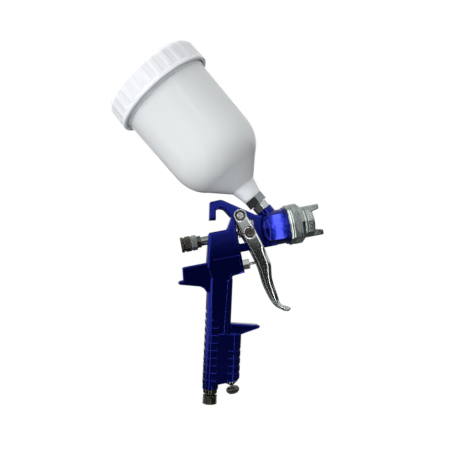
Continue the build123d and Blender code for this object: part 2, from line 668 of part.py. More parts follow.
with BuildPart() as cup_hex_insert:
    with BuildSketch(across(CUP_SIDE, 28.8)):
        RegularPolygon(CUP_HEX / 2, 6, major_radius=False)
    extrude(amount=7.7)
    revolve(rod(CUP_SIDE, 36, 46, 6.6), axis=CUP_AXIS)
    revolve(rod(CUP_SIDE, 28, 36.4, 5.5 + RUNNING), axis=CUP_AXIS, mode=Mode.SUBTRACT)
    revolve(rod(CUP_SIDE, 36, 47, 4), axis=CUP_AXIS, mode=Mode.SUBTRACT)
finish(cup_hex_insert, "cup_hex_insert")

with BuildPart() as paint_cup:
    with BuildSketch(CUP_SIDE):
        with BuildLine():
            shoulder = ThreePointArc((67.7, 29.5), (79.6, 39.3), (CUP_SHOULDER, CUP_LOW_RADIUS))
            Polyline((36.5, 6.6), (36.5, 9.2), (44.0, 10.8), (51.0, 12.6), shoulder @ 0)
            Polyline(
                shoulder @ 1, (CUP_NECK_RIM, CUP_RADIUS), (CUP_NECK_RIM + 0.6, RIM_RADIUS),
                (CUP_RIM, RIM_RADIUS), (CUP_RIM, RIM_RADIUS - RIM_WALL),
                (CUP_NECK_RIM - 2, CUP_RADIUS - CUP_WALL),
                (CUP_SHOULDER + 0.5, CUP_LOW_RADIUS - CUP_WALL),
            )  # fmt: skip
            inner = ThreePointArc(
                (CUP_SHOULDER + 0.5, CUP_LOW_RADIUS - CUP_WALL), (80.8, 37.7), (69.3, 28.3)
            )
            Polyline(inner @ 1, (52.3, 10.9), (46.6, 9.0), (46.0, 6.6), (36.5, 6.6))
        make_face()
    revolve(axis=CUP_AXIS)
finish(paint_cup, "paint_cup")

with BuildPart() as cup_filter:
    revolve(
        outline(
            CUP_SIDE,
            (47.2, 6.0), (47.2, 8.2), (49.4, 8.9), (50.2, 8.2), (76.0, 3.4), (76.0, 0), (75.2, 0),
            (75.2, 2.7), (49.6, 7.3), (49.2, 6.0),
        ),  # fmt: skip
        axis=CUP_AXIS,
    )
finish(cup_filter, "cup_filter")

with BuildPart() as lid_gasket:
    revolve(
        tube(CUP_SIDE, CUP_RIM, LID_ROOF, LID_INSIDE - 0.3, RIM_RADIUS - RIM_WALL), axis=CUP_AXIS
    )
finish(lid_gasket, "lid_gasket")

with BuildPart() as cup_lid:
    with BuildSketch(CUP_SIDE):
        with BuildLine():
            edge = ThreePointArc((184.0, 48.8), (186.3, 47.6), (LID_TOP, 45.2))
            Polyline(
                edge @ 1, (LID_TOP, 41.0), (LID_TOP - 2, LID_HUB), (LID_TOP - 2, VENT_HOLE),
                (LID_ROOF, VENT_HOLE), (LID_ROOF, LID_INSIDE), (LID_LOW, LID_INSIDE),
                (LID_LOW, LID_BEAD - 0.4), (LID_LOW + 0.6, LID_BEAD), (LID_LOW + 2.6, LID_BEAD),
                (LID_LOW + 3.4, LID_RADIUS), edge @ 0,
            )  # fmt: skip
        make_face()
    revolve(axis=CUP_AXIS)
finish(cup_lid, "cup_lid")

with BuildPart() as lid_vent_cap:
    revolve(
        outline(
            CUP_SIDE,
            (181.0, 0), (181.0, 1.6), (182.0, VENT_HOLE), (LID_TOP - 2, VENT_HOLE),
            (LID_TOP - 2, 6.2), (LID_TOP - 0.4, 5.6), (LID_TOP - 0.4, 0),
        ),  # fmt: skip
        axis=CUP_AXIS,
    )
finish(lid_vent_cap, "lid_vent_cap")
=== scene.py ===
# %% [markdown]
# A gravity-feed spray gun is a cast and enamelled body with chromed and turned pieces round it
# and a moulded cup on top. The CAD frame gives every size, axis and joint. This file gives the
# pieces their finish, and makes afresh the ones whose look is in fine shape: knurls, threads,
# grip ribs, coil springs, strainer mesh and the soft edges of a polished casting.

# %% Load the frame
import json
from math import pi, radians

import bmesh
import bpy
import numpy as np
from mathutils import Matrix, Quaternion, Vector


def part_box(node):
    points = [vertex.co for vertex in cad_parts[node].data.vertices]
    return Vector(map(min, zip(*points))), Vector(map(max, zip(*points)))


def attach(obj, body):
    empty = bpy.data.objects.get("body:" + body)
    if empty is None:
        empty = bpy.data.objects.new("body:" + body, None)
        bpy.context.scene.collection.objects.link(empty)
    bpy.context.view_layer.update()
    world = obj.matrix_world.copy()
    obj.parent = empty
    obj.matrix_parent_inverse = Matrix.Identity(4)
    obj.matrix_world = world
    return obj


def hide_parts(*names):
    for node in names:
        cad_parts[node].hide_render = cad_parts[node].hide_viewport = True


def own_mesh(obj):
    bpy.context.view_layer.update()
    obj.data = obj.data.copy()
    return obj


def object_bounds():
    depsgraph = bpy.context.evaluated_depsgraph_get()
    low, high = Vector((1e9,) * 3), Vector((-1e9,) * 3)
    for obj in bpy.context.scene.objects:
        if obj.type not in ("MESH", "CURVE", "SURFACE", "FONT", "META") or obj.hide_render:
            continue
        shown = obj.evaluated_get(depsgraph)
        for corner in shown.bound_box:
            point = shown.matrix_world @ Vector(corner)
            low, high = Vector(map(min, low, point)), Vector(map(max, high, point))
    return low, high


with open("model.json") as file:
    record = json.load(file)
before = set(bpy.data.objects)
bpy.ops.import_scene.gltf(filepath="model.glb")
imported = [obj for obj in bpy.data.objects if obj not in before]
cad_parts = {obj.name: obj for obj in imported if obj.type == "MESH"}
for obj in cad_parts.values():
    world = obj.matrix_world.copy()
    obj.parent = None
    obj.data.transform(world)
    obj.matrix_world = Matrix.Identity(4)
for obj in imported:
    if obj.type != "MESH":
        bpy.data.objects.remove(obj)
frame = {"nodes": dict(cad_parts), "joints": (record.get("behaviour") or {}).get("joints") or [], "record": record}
cad_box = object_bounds()
MM = 0.001
print("CAD box, mm:", [[round(c / MM, 1) for c in corner] for corner in cad_box])

# %% [markdown]
# Every piece of the gun lies along one of a few axes. Each axis is read from the frame: a hinge
# gives a point and a direction, and a turned piece's box gives the middle of its barrel.

# %% Axes of the gun
joints = {joint["name"]: joint for joint in frame["joints"]}


def middle(node):
    """Centre of a CAD node's box, in metres."""
    low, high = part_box(node)
    return np.array((low + high) / 2)


def hinge(name):
    """A hinge's point and unit direction."""
    return np.array(joints[name]["pos_m"]), np.array(joints[name]["axis"], float)


PIN = hinge("yoke_turn")[0] * (1, 0, 1)
BARREL_Z = middle("air_cap_ring")[2]
PIVOT = hinge("trigger_pull")[0]
CUP_POINT, CUP_UP = hinge("cup_turn")
print("cross pin at", PIN.round(4), "barrel height", round(float(BARREL_Z), 4))

# %% [markdown]
# The camera stands on the gun's right, a little behind and below the barrel, and is rolled so that
# the barrel climbs to the right. A 40 mm lens on a 36 mm sensor from about 0.47 m gives the gun
# its slight perspective.

# %% Camera
CAMERA_FROM_PIN = Vector((-66.3, -467.3, -17.4)) * MM
AIM_FROM_PIN = Vector((-21.2, 0.0, 10.0)) * MM
CAMERA_ROLL = radians(-10.92)
LENS = 39.82

pin_datum = Vector((PIN[0] + 1.3 * MM, 0, BARREL_Z))
camera = bpy.data.objects.new("camera", bpy.data.cameras.new("camera"))
bpy.context.scene.collection.objects.link(camera)
bpy.context.scene.camera = camera
camera.data.lens = LENS
camera.data.sensor_width = 36
camera.data.clip_start = 0.01
camera.location = pin_datum + CAMERA_FROM_PIN
look = AIM_FROM_PIN - CAMERA_FROM_PIN
camera.rotation_mode = "QUATERNION"
camera.rotation_quaternion = look.to_track_quat("-Z", "Y") @ Quaternion((0, 0, 1), CAMERA_ROLL)
print("camera at", [round(c, 3) for c in camera.location])


# %% [markdown]
# Materials are small node trees. One function turns a hex colour, as a paint chart gives it, into
# the linear values that light is counted in, and one function adds a node with its settings and
# links. Everything after that is plain node work.

# %% Colour and node helpers
def linear(code):
    """A hex colour as linear RGBA: c/12.92 near black, else ((c+0.055)/1.055)^2.4."""
    channels = np.array([int(code[i : i + 2], 16) for i in (1, 3, 5)]) / 255
    curve = np.where(channels <= 0.04045, channels / 12.92, ((channels + 0.055) / 1.055) ** 2.4)
    return (*curve.tolist(), 1.0)


def add_node(tree, kind, inputs=None, **settings):
    """Adds one node. An input's value is either a constant or the socket it is linked from."""
    node = tree.nodes.new(kind)
    for name, value in settings.items():
        setattr(node, name, value)
    for name, value in (inputs or {}).items():
        if isinstance(value, bpy.types.NodeSocket):
            tree.links.new(value, node.inputs[name])
        else:
            node.inputs[name].default_value = value
    return node


def blank(name):
    """A new material and its empty node tree."""
    material = bpy.data.materials.new(name)
    material.use_nodes = True
    material.node_tree.nodes.clear()
    return material, material.node_tree


def close(tree, shader):
    """Links a shader to the tree's output."""
    add_node(tree, "ShaderNodeOutputMaterial", {"Surface": shader.outputs[0]})


# %% [markdown]
# The light is a plain white tent. To the lens the room is white. What the paint and the chrome
# mirror is a gradient: dark below the horizon, a bright wall above it, a narrow window of two
# panes on the camera's side, and softer strips beside it and at the rear. The window draws the
# long pale patch on the barrel. Softboxes that no gloss mirrors light the milky cup.

# %% Studio
SKY_LOW, SKY_HIGH = 0.04, 0.9
HORIZON_START, HORIZON_END = -0.005, 0.09
GLOW_START, GLOW_END, GLOW = -0.05, -0.25, 0.07
WINDOW_PANES = ((0.197, 0.0095), (0.231, 0.006))
WINDOW_LIGHT = 8.0
STREAK_X, STREAK_HALF, STREAK_LIGHT = -0.45, 0.05, 2.4
REAR_STRIP_Y, REAR_STRIP_HALF, REAR_STRIP_LIGHT = -0.12, 0.10, 1.1

world = bpy.data.worlds.new("white_tent")
bpy.context.scene.world = world
world.use_nodes = True
tent = world.node_tree
tent.nodes.clear()
direction = add_node(tent, "ShaderNodeTexCoord").outputs["Generated"]
part = add_node(tent, "ShaderNodeSeparateXYZ", {"Vector": direction})
horizon = add_node(
    tent,
    "ShaderNodeMapRange",
    {
        "Value": part.outputs["Z"],
        "From Min": HORIZON_START,
        "From Max": HORIZON_END,
        "To Min": SKY_LOW,
        "To Max": SKY_HIGH,
    },
    interpolation_type="SMOOTHSTEP",
)


def strip(value, centre, half):
    """1 well within half of centre, falling softly to 0 over the last quarter of half."""
    off = add_node(tent, "ShaderNodeMath", {0: value, 1: centre}, operation="SUBTRACT")
    size = add_node(tent, "ShaderNodeMath", {0: off.outputs[0]}, operation="ABSOLUTE")
    return add_node(
        tent,
        "ShaderNodeMapRange",
        {
            "Value": size.outputs[0],
            "From Min": half,
            "From Max": half * 0.75,
            "To Min": 0.0,
            "To Max": 1.0,
        },
        interpolation_type="SMOOTHSTEP",
    ).outputs[0]


def product(first, second, operation="MULTIPLY"):
    """Two values multiplied, or put together by another operation."""
    return add_node(tent, "ShaderNodeMath", {0: first, 1: second}, operation=operation).outputs[0]


camera_side = add_node(
    tent,
    "ShaderNodeMath",
    {0: part.outputs["Y"], 1: 0.0},
    operation="LESS_THAN",
).outputs[0]
behind_gun = add_node(
    tent,
    "ShaderNodeMath",
    {0: part.outputs["X"], 1: 0.0},
    operation="LESS_THAN",
).outputs[0]
window = product(*(strip(part.outputs["X"], *pane) for pane in WINDOW_PANES), "ADD")
window = product(window, camera_side)
streak = product(strip(part.outputs["X"], STREAK_X, STREAK_HALF), camera_side)
rear_strip = product(strip(part.outputs["Y"], REAR_STRIP_Y, REAR_STRIP_HALF), behind_gun)
bright = product(product(window, WINDOW_LIGHT), product(rear_strip, REAR_STRIP_LIGHT), "ADD")
bright = product(bright, product(streak, STREAK_LIGHT), "ADD")
glow = add_node(
    tent,
    "ShaderNodeMapRange",
    {
        "Value": part.outputs["Z"],
        "From Min": GLOW_START,
        "From Max": GLOW_END,
        "To Min": 0.0,
        "To Max": GLOW,
    },
)
tent_light = product(product(horizon.outputs[0], glow.outputs[0], "ADD"), bright, "ADD")
seen = add_node(tent, "ShaderNodeLightPath").outputs["Is Camera Ray"]
mirrored = add_node(tent, "ShaderNodeBackground", {"Strength": tent_light})
plain_white = add_node(tent, "ShaderNodeBackground", {"Color": (1, 1, 1, 1), "Strength": 1.0})
mixed = add_node(
    tent,
    "ShaderNodeMixShader",
    {0: seen, 1: mirrored.outputs[0], 2: plain_white.outputs[0]},
)
add_node(tent, "ShaderNodeOutputWorld", {"Surface": mixed.outputs[0]})
bpy.context.scene.view_settings.view_transform = "Standard"


SOFTBOX_SIZE = 0.7
gun_middle = Vector((cad_box[0] + cad_box[1]) / 2)


def softbox(name, place, power):
    """A square area light at place, facing the gun, in metres and watts, that no gloss mirrors."""
    light = bpy.data.lights.new(name, "AREA")
    light.size = SOFTBOX_SIZE
    light.energy = power
    lamp = bpy.data.objects.new(name, light)
    bpy.context.scene.collection.objects.link(lamp)
    lamp.location = place
    lamp.rotation_euler = (gun_middle - Vector(place)).to_track_quat("-Z", "Y").to_euler()
    lamp.visible_glossy = False
    return lamp


softbox("key_left", (-1.1, -0.65, 0.4), 9.5)
softbox("fill_front", (0.1, -1.2, -0.2), 5.0)
softbox("fill_back", (-0.3, 1.3, 0.3), 5.5)

# %% [markdown]
# The floor is a plain pale sheet well below the gun, not attached to any of its bodies.

# %% Floor
FLOOR_DROP, FLOOR_SIZE = 0.35, 30.0
floor_grid = np.array([[[-1, -1, 0], [1, -1, 0]], [[-1, 1, 0], [1, 1, 0]]]) * FLOOR_SIZE / 2
floor_mesh = bpy.data.meshes.new("floor")
floor_points = floor_grid.reshape(-1, 3) - (0, 0, FLOOR_DROP)
floor_mesh.from_pydata(floor_points.tolist(), [], [(0, 1, 3, 2)])
floor = bpy.data.objects.new("floor", floor_mesh)
bpy.context.scene.collection.objects.link(floor)
paper, paper_tree = blank("matt_white_paper")
paper_look = {"Color": linear("#ffffff"), "Strength": 1.0}
paper_light = add_node(paper_tree, "ShaderNodeEmission", paper_look)
close(paper_tree, paper_light)
floor_mesh.materials.append(paper)
floor.visible_diffuse = False
floor.visible_glossy = False


# %% [markdown]
# The body is cast aluminium under a transparent blue enamel, so light passes the blue coat,
# meets metal and comes back through it: even the highlights are blue. A nearly full metallic
# base with a thin clear coat gives that. The faint unevenness of sprayed enamel, about 3 mm from
# hump to hump, bends the reflections a little.

# %% Blue enamel
def enamel():
    """Transparent blue stoving enamel on a casting."""
    material, tree = blank("blue_candy_enamel_on_cast_aluminium")
    place = add_node(tree, "ShaderNodeTexCoord").outputs["Object"]
    cloud = add_node(tree, "ShaderNodeTexNoise", {"Vector": place, "Scale": 1 / (30 * MM)})
    colour = add_node(
        tree,
        "ShaderNodeMix",
        {0: cloud.outputs[0], 6: linear("#020f78"), 7: linear("#031c90")},
        data_type="RGBA",
    )
    orange_peel = add_node(
        tree, "ShaderNodeTexNoise", {"Vector": place, "Scale": 1 / (3 * MM), "Detail": 1.0}
    )
    corner = add_node(tree, "ShaderNodeBevel", {"Radius": 0.5 * MM}, samples=6)
    bump = add_node(
        tree,
        "ShaderNodeBump",
        {
            "Height": orange_peel.outputs[0],
            "Distance": 0.02 * MM,
            "Strength": 0.35,
            "Normal": corner.outputs[0],
        },
    )
    shader = add_node(
        tree,
        "ShaderNodeBsdfPrincipled",
        {
            "Base Color": colour.outputs[2],
            "Metallic": 0.93,
            "Roughness": 0.055,
            "Coat Weight": 0.3,
            "Coat Roughness": 0.03,
            "Normal": bump.outputs[0],
            "Coat Normal": bump.outputs[0],
        },
    )
    close(tree, shader)
    return material


# %% [markdown]
# Metals differ by how the surface was made. A polished casting keeps soft waves about 6 mm long.
# A turned piece has fine rings round its axis. A tumbled or satin piece has neither, only a
# blurred shine. One function makes all three, because only these few numbers change.

# %% Metals
def metal(name, light, dark, roughness, wave=6.0, depth=0.0, rings=None, edge=0.25):
    """A metal with colour between two hexes, hand-polish waves (mm) and optional turning rings.

    rings is (pitch in mm, unit axis): the ring height is a sine along that axis.
    """
    material, tree = blank(name)
    place = add_node(tree, "ShaderNodeTexCoord").outputs["Object"]
    cloud = add_node(
        tree, "ShaderNodeTexNoise", {"Vector": place, "Scale": 1 / (wave * MM), "Detail": 4.0}
    )
    colour = add_node(
        tree,
        "ShaderNodeMix",
        {0: cloud.outputs[0], 6: linear(dark), 7: linear(light)},
        data_type="RGBA",
    )
    rough = add_node(
        tree,
        "ShaderNodeMapRange",
        {"Value": cloud.outputs[0], "To Min": roughness * 0.75, "To Max": roughness * 1.3},
    )
    corner = add_node(tree, "ShaderNodeBevel", {"Radius": edge * MM}, samples=4)
    height = cloud.outputs[0]
    if rings:
        pitch, axis = rings
        along = add_node(
            tree,
            "ShaderNodeVectorMath",
            {0: place, 1: tuple(float(a) * 2 * pi / (pitch * MM) for a in axis)},
            operation="DOT_PRODUCT",
        )
        height = add_node(
            tree, "ShaderNodeMath", {0: along.outputs["Value"]}, operation="SINE"
        ).outputs[0]
    bump = add_node(
        tree,
        "ShaderNodeBump",
        {"Height": height, "Distance": depth * MM, "Strength": 1.0, "Normal": corner.outputs[0]},
    )
    shader = add_node(
        tree,
        "ShaderNodeBsdfPrincipled",
        {
            "Base Color": colour.outputs[2],
            "Metallic": 1.0,
            "Roughness": rough.outputs[0],
            "Normal": bump.outputs[0],
        },
    )
    close(tree, shader)
    return material


# %% [markdown]
# The cup and lid are natural polypropylene: milky, soft white, with light spreading a few
# millimetres inside the wall. Subsurface scattering gives that glow, and the slightly blue white
# is the material's own. The moulded skin has a satin shine.

# %% Plastics and rubber
def plastic(name, light, dark, roughness, glow, grain, depth=0.02):
    """A moulded plastic: two close colours, subsurface glow of glow mm, skin grain in mm."""
    material, tree = blank(name)
    place = add_node(tree, "ShaderNodeTexCoord").outputs["Object"]
    cloud = add_node(tree, "ShaderNodeTexNoise", {"Vector": place, "Scale": 1 / (25 * MM)})
    colour = add_node(
        tree,
        "ShaderNodeMix",
        {0: cloud.outputs[0], 6: linear(dark), 7: linear(light)},
        data_type="RGBA",
    )
    skin_grain = add_node(tree, "ShaderNodeTexNoise", {"Vector": place, "Scale": 1 / (grain * MM)})
    bump = add_node(
        tree,
        "ShaderNodeBump",
        {"Height": skin_grain.outputs[0], "Distance": depth * MM, "Strength": 0.5},
    )
    settings = {
        "Base Color": colour.outputs[2],
        "Roughness": roughness,
        "Normal": bump.outputs[0],
    }
    if glow:
        settings["Subsurface Weight"] = 1.0
        settings["Subsurface Radius"] = (1.0, 1.0, 1.0)
        settings["Subsurface Scale"] = glow * MM
    shader = add_node(tree, "ShaderNodeBsdfPrincipled", settings)
    close(tree, shader)
    return material


# %% [markdown]
# Each finish is one real material with its process. The CAD pieces get theirs by name, and the
# pieces made further down take the same ones.

# %% The finishes and the pieces that wear them
BARREL_WAY = (1.0, 0.0, 0.0)
GRIP_UP = -np.array(frame["record"]["mounts"][0]["axis"], float)
finishes = {
    "enamel": enamel(),
    "trigger_chrome": metal("polished_chrome_on_zinc_casting", "#c8cdcc", "#c0c6c5", 0.05, 9, 0.01),
    "bright_chrome": metal("bright_chrome_on_turned_brass", "#d6dadb", "#cdd1d2", 0.05, 6, 0.003),
    "satin_chrome": metal(
        "satin_chrome_on_turned_brass", "#a9b1af", "#9ca4a1", 0.08, 6, 0.001, (0.9, BARREL_WAY)
    ),
    "satin_chrome_cup": metal(
        "satin_chrome_on_turned_steel", "#a3a9ac", "#92989b", 0.1, 6, 0.001, (0.9, CUP_UP)
    ),
    "dark_nickel": metal("black_nickel_on_turned_brass", "#6a6660", "#5a5650", 0.1, 6, 0.003),
    "steel": metal(
        "turned_stainless_steel", "#b0b0ac", "#94948f", 0.22, 3, 0.008, (0.7, BARREL_WAY)
    ),
    "screw_steel": metal("zinc_plated_screw_steel", "#cfd2d2", "#b9bcbc", 0.09, 4, 0.004),
    "brass": metal("machined_brass", "#c8a35a", "#a9853f", 0.28, 3, 0.008, (0.7, BARREL_WAY)),
    "spring_wire": metal("drawn_spring_wire", "#8f9194", "#6f7174", 0.3, 2, 0.0),
    "cup": plastic("milky_moulded_polypropylene", "#edf3f8", "#e8eff5", 0.2, 4.0, 1.5, 0.004),
    "lid": plastic("milky_moulded_polyethylene", "#eff1f6", "#e8ebf0", 0.26, 3.0, 1.2, 0.008),
    "ptfe": plastic("sintered_ptfe", "#e2e0d8", "#d3d1c8", 0.5, 1.0, 0.8),
    "rubber": plastic("black_nitrile_rubber", "#151515", "#0c0c0c", 0.6, 0.0, 0.6, 0.05),
    "nylon": plastic("woven_nylon_strainer", "#e6e4da", "#d8d6ca", 0.5, 1.0, 0.8),
}
wears = {
    "enamel": ["gun_body"],
    "trigger_chrome": ["trigger"],
    "bright_chrome": ["air_valve_body", "cup_nipple", "regulator_gland"],
    "satin_chrome": ["fluid_adjust_sleeve", "fan_bushing", "air_cap_ring", "air_cap"],
    "satin_chrome_cup": ["cup_hex_insert"],
    "dark_nickel": [
        "air_inlet_connector", "fluid_adjust_knob", "fluid_locknut", "needle_yoke",
        "regulator_knob", "fan_knob",
    ],
    "steel": [
        "fluid_nozzle", "packing_gland", "trigger_pivot_pin", "trigger_pivot_screws",
        "fluid_needle", "fluid_adjust_screw", "air_valve_stem", "fan_spindle", "fan_knob_screw",
        "regulator_spindle",
    ],
    "brass": ["air_distribution_ring", "needle_spring_seat"],
    "spring_wire": ["needle_spring", "air_valve_spring"],
    "ptfe": ["nozzle_gasket", "needle_packing", "air_valve_packing"],
    "rubber": ["regulator_seal", "inlet_gasket", "air_valve_head", "lid_gasket"],
    "nylon": ["cup_filter"],
    "cup": ["paint_cup"],
    "lid": ["cup_lid", "lid_vent_cap"],
}  # fmt: skip
for finish, names in wears.items():
    for name in names:
        for material_slot in frame["nodes"][name].material_slots:
            material_slot.material = finishes[finish]
dressed = sum(len(names) for names in wears.values())
print("dressed", dressed, "of", len(frame["nodes"]), "CAD nodes")

# %% [markdown]
# The pieces made here are surfaces on a grid. Most are a profile turned about one of the gun's
# axes, with a relief laid on it: a knurl, a thread, a hexagon or a row of grip ribs. A lathe works
# the same way, and one function can then make a knob, a nut or a cup.

# %% Grid surfaces
SHARP = radians(34)
MERGE = 0.002 * MM


def weld(mesh, outwards=False):
    """Merges points that fall together and, if asked, turns the faces outwards."""
    work = bmesh.new()
    work.from_mesh(mesh)
    bmesh.ops.remove_doubles(work, verts=work.verts, dist=MERGE)
    if outwards:
        bmesh.ops.recalc_face_normals(work, faces=work.faces)
    work.to_mesh(mesh)
    work.free()


def skin(name, grid, wrap_rows=True):
    """A mesh over a grid of points. Each cell is a quad. Columns close on themselves.

    Rows do too, unless wrap_rows is off. Points that fall together, as on an axis, are merged.
    """
    rows, columns = grid.shape[:2]
    index = np.arange(rows * columns).reshape(rows, columns)
    if wrap_rows:
        index = np.vstack([index, index[:1]])
    index = np.hstack([index, index[:, :1]])
    quads = np.stack([index[:-1, :-1], index[1:, :-1], index[1:, 1:], index[:-1, 1:]], -1)
    mesh = bpy.data.meshes.new(name)
    mesh.from_pydata(grid.reshape(-1, 3).tolist(), [], quads.reshape(-1, 4).tolist())
    weld(mesh, outwards=True)
    mesh.shade_smooth()
    mesh.set_sharp_from_angle(angle=SHARP)
    piece = bpy.data.objects.new(name, mesh)
    bpy.context.scene.collection.objects.link(piece)
    return piece


def rounded(corners, radius, step):
    """A closed profile in mm with its corners rounded.

    A corner becomes a quadratic curve from radius before it to radius after it, or nearly half of
    a shorter run, and long runs get a point every step mm.
    """
    corners = np.array(corners, float)
    to_last, to_next = (np.roll(corners, shift, 0) - corners for shift in (1, -1))
    cuts = []
    for way in (to_last, to_next):
        length = np.maximum(np.linalg.norm(way, axis=1, keepdims=True), 1e-9)
        cuts.append(corners + way / length * np.minimum(radius, 0.45 * length))
    u = np.linspace(0, 1, 5)[:, None, None]
    curve = (1 - u) ** 2 * cuts[0] + 2 * u * (1 - u) * corners + u**2 * cuts[1]
    line = curve.transpose(1, 0, 2).reshape(-1, 2)
    line = np.vstack([line, line[:1]])
    at = np.r_[0, np.cumsum(np.linalg.norm(np.diff(line, axis=0), axis=1))]
    places = np.unique(np.r_[at, np.arange(0, at[-1], step)].round(4))
    return np.stack([np.interp(places, at, line[:, k]) for k in (0, 1)], 1)[:-1]


def onto_axis(profile, near):
    """Puts a profile's points within near mm of the axis on it, so that an end closes."""
    profile[profile[:, 1] < near, 1] = 0
    return profile


def turned(name, point, direction, profile, sides, relief=None, sink=None):
    """A closed profile of (mm along, mm out) turned about an axis.

    place = point + s * along + r * (cos t * side + sin t * up), with r the profile's radius plus
    relief(s, t, r), s less sink(s, t, r), all in mm, and t from 0 to a full turn in equal steps.
    """
    along = np.array(direction, float)
    along = along / np.linalg.norm(along)
    side = np.cross(along, (0, 1, 0) if abs(along[1]) < 0.9 else (0, 0, 1))
    side = side / np.linalg.norm(side)
    up = np.cross(along, side)
    s, r = (column[:, None] for column in np.array(profile).T)
    t = np.linspace(0, 2 * pi, sides, endpoint=False)[None, :]
    out = np.broadcast_to(r, (len(s), sides))
    if relief:
        out = np.maximum(out + relief(s, t, r), 0)
    if sink:
        s = s - sink(s, t, r)
    out = out[..., None] * (np.cos(t)[..., None] * side + np.sin(t)[..., None] * up)
    return skin(name, point + (s[..., None] * along + out) * MM)


def joined(name, pieces):
    """Several pieces as one mesh, each still a closed shell."""
    work = bmesh.new()
    for piece in pieces:
        work.from_mesh(piece.data)
        bpy.data.objects.remove(piece)
    mesh = bpy.data.meshes.new(name)
    work.to_mesh(mesh)
    work.free()
    whole = bpy.data.objects.new(name, mesh)
    bpy.context.scene.collection.objects.link(whole)
    return whole


# %% [markdown]
# A relief is a small change of radius, as a formula of the place along the piece and the turn
# round it. Each function makes one kind, and stand_for puts a finished piece in a CAD node's place.

# %% Reliefs
RUN_OUT = 0.3


def knurl(zones, count, depth, outside, slant=0.0):
    """Knurling: two families of count grooves that cross at slant turns per mm, or straight at 0.

    A groove is (half a cosine wave) squared, and the deeper of the two families counts. Zones are
    (start, end) in mm, with 0.3 mm run-outs, and only what lies beyond outside is cut.
    """

    def relief(s, t, r):
        fade = sum(
            np.clip((s - start) / RUN_OUT, 0, 1) * np.clip((end - s) / RUN_OUT, 0, 1)
            for start, end in zones
        )
        turn = 2 * pi * slant * s
        ways = [(0.5 + 0.5 * np.cos(count * t + sign * turn)) ** 2 for sign in (1, -1)]
        return -depth * fade * (r > outside) * np.maximum(*ways)

    return relief


def thread(pitch, depth, start, end, outside):
    """A V thread: a triangle wave of s / pitch - t / 2 pi, faded over half a pitch at both ends."""

    def relief(s, t, r):
        wave = np.abs(2 * ((s / pitch - t / (2 * pi)) % 1) - 1)
        fade = np.clip((s - start) * 2 / pitch, 0, 1) * np.clip((end - s) * 2 / pitch, 0, 1)
        return -depth * wave * fade * (r > outside)

    return relief


def hexagon(apothem, start, end):
    """Six flats: from start to end the radius is at most apothem / cos(angle off a flat)."""

    def relief(s, t, r):
        off = (t + pi / 6) % (pi / 3) - pi / 6
        flat = np.minimum(apothem / np.cos(off) - r, 0)
        return np.where((s >= start) & (s <= end), flat, 0)

    return relief


body_of = {
    node: body for body, nodes in frame["record"]["behaviour"]["bodies"].items() for node in nodes
}


def stand_for(piece, finish, node):
    """A piece takes a CAD node's place, body and material slot, and gets its finish."""
    piece.data.materials.append(finishes[finish])
    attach(piece, body_of[node])
    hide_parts(node)
    print(piece.name, "has", len(piece.data.polygons), "faces and stands for", node)
    return piece


def face_centres(piece):
    """The middle of every face, as an array of points."""
    centres = np.empty(len(piece.data.polygons) * 3, np.float32)
    piece.data.polygons.foreach_get("center", centres)
    return centres.reshape(-1, 3)


def paint_faces(piece, finish, chosen):
    """Gives the chosen faces, an array of True and False, a second finish."""
    piece.data.materials.append(finishes[finish])
    piece.data.polygons.foreach_set("material_index", chosen.astype(np.int32))


def on_barrel(node):
    """The point on the barrel axis at the rear of a CAD node."""
    return np.array([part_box(node)[0].x, 0, BARREL_Z])


# %% [markdown]
# The air cap ring is done up by hand, so its middle is knurled: two sets of slanting grooves that
# leave small diamonds. A groove before it and a cone in front are left plain. Real diamonds of
# 2 mm are just coarse enough to show. They are true relief, so the ring's edge is toothed too.

# %% Air cap ring
RING_BORE, RING_RADIUS, RING_LENGTH = 16.5, 19.0, 15.0
ring_profile = rounded(
    [
        (0, RING_BORE), (0, 18.2), (0.8, RING_RADIUS), (2.6, RING_RADIUS), (3.1, 18.5), (4.4, 18.5),
        (4.9, RING_RADIUS), (11.6, RING_RADIUS), (RING_LENGTH, 15.9), (RING_LENGTH, 15.05),
        (13.6, 15.05), (13.6, RING_BORE),
    ],
    0.25,
    step=0.28,
)  # fmt: skip
DIAMOND = 2.0
ring_count = round(2 * pi * RING_RADIUS / DIAMOND)
ring = turned(
    "knurled_air_cap_ring",
    on_barrel("air_cap_ring"),
    BARREL_WAY,
    ring_profile,
    480,
    knurl([(5.2, 11.5)], ring_count, 0.45, 18.7, slant=1 / (1.6 * DIAMOND)),
)
stand_for(ring, "satin_chrome", "air_cap_ring")

# %% [markdown]
# The fluid knob at the back is a turned knob with straight knurling in two bands and a plain
# ring in front. The lock nut behind the block has six flats.

# %% Fluid knob and lock nut
COLLAR_FROM = 9.6
knob_profile = rounded(
    [
        (0, 0), (0, 6.6), (0.6, 7.2), (2.6, 7.2), (3.1, 6.2), (3.7, 6.2), (4.2, 7.2), (9.0, 7.2),
        (9.5, 6.4), (9.9, 6.4), (10.4, 7.1), (14.5, 7.1), (15.0, 6.6), (15.0, 3.0), (4.0, 3.0),
        (4.0, 0),
    ],
    0.3,
    step=0.4,
)  # fmt: skip
fluid_knob = turned(
    "knurled_fluid_knob",
    on_barrel("fluid_adjust_knob"),
    BARREL_WAY,
    onto_axis(knob_profile, near=0.01),
    256,
    knurl([(0.4, 2.8), (4.0, 9.2), (10.2, 14.7)], 30, 0.45, 6.5),
)
stand_for(fluid_knob, "dark_nickel", "fluid_adjust_knob")
collar_start = on_barrel("fluid_adjust_knob")[0] + COLLAR_FROM * MM
paint_faces(fluid_knob, "satin_chrome", face_centres(fluid_knob)[:, 0] > collar_start)

